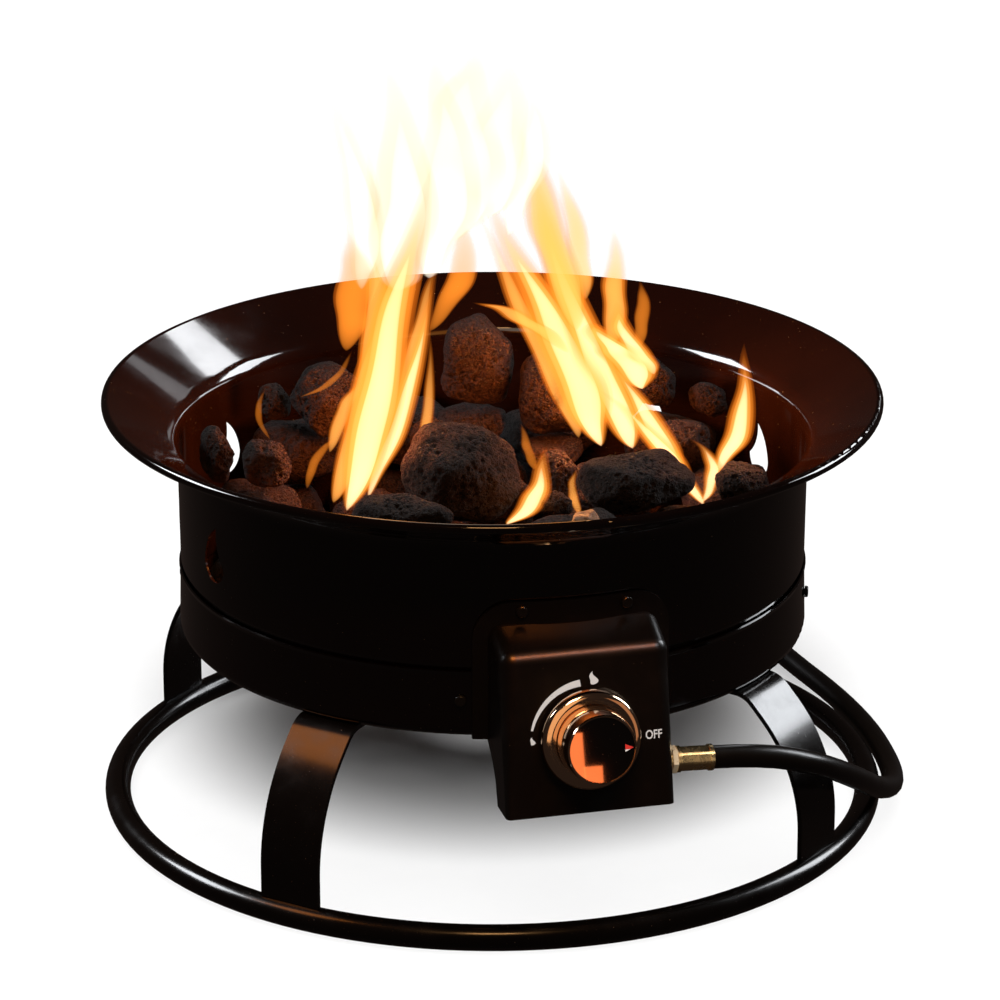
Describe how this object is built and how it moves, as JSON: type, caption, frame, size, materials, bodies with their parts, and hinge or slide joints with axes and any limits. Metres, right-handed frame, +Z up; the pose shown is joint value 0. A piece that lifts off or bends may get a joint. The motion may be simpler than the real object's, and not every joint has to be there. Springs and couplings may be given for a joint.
{
  "type": "propane fire pit",
  "caption": "Round portable gas fire pit: enamelled bowl of lava rock over a ring burner, on a ring base, with valve knob, hose, regulator and hand nut.",
  "frame": {"origin": "on the floor, on the axis of the base ring and the bowl", "axes": "+Z up, -Y towards the control box and its knob, +X towards the side where the hose leaves the box"},
  "size_m": [0.5095, 0.7256, 0.2909],
  "materials": {
    "black_coat": "gloss",
    "enamel": "gloss",
    "satin_black": "satin",
    "black_screws": "satin",
    "zinc_steel": "satin",
    "spring_steel": "satin",
    "burner_steel": "heat-tinted",
    "brass": "satin",
    "knob_chrome": "polished",
    "knob_face": "gloss",
    "pointer_red": "matte",
    "pale_collar": "satin",
    "hose_rubber": "matte",
    "tie_plastic": "matte",
    "die_cast": "cast",
    "cap_plastic": "matte",
    "nut_plastic": "matte",
    "lava_rock": "rough, porous",
    "pale_rock": "rough"
  },
  "bodies": {
    "fire_pit": {"base_ring": "black_coat", "leg_front_right": "black_coat", "leg_back_right": "black_coat", "leg_back_left": "black_coat", "leg_front_left": "black_coat", "leg_bolts": "zinc_steel", "leg_nuts": "zinc_steel", "base_pan": "enamel", "fire_bowl": "enamel", "pan_screws": "black_screws", "burner_ring": "burner_steel", "mixer_tube": "burner_steel", "air_shutter": "zinc_steel", "burner_brackets": "burner_steel", "control_box": "satin_black", "flange_screws": "black_screws", "valve_body": "brass", "valve_end_cap": "brass", "panel_nut": "brass", "gas_jet": "brass", "inlet_elbow": "brass", "inlet_collar": "pale_collar", "hose_ferrule": "brass", "gas_hose": "hose_rubber", "gas_hose_coil": "hose_rubber", "coil_tie": "tie_plastic", "regulator_ferrule": "brass", "regulator_body": "die_cast", "regulator_bonnet": "die_cast", "regulator_cap": "cap_plastic", "regulator_screws": "zinc_steel", "cylinder_nipple": "brass", "lava_rocks_floor": "lava_rock", "lava_rocks_middle": "lava_rock", "lava_rocks_top": "lava_rock", "pale_pebbles": "pale_rock"},
    "valve_rotor": {"valve_plug": "brass", "stem_spring": "spring_steel"},
    "knob": {"valve_stem": "zinc_steel", "knob_body": "knob_chrome", "knob_face": "knob_face", "knob_pointer": "pointer_red"},
    "hand_nut": {"hand_nut": "nut_plastic"}
  },
  "joints": [
    {"name": "knob_turn", "type": "hinge", "parent": "fire_pit", "child": "valve_rotor", "pos_m": [0, -0.22978, 0.13], "axis": [0, -0.989, 0.1478], "range_deg": [0, 180]},
    {"name": "knob_push", "type": "slide", "parent": "valve_rotor", "child": "knob", "axis": [0, 0.989, -0.1478], "range_m": [0, 0.003], "stiffness_N_per_m": 1500, "springref_m": -0.002, "deforming": ["stem_spring"]},
    {"name": "hand_nut_turn", "type": "hinge", "parent": "fire_pit", "child": "hand_nut", "pos_m": [-0.03645, 0.42215, 0.0231], "axis": [-1, 0, 0], "continuous": true}
  ]
}
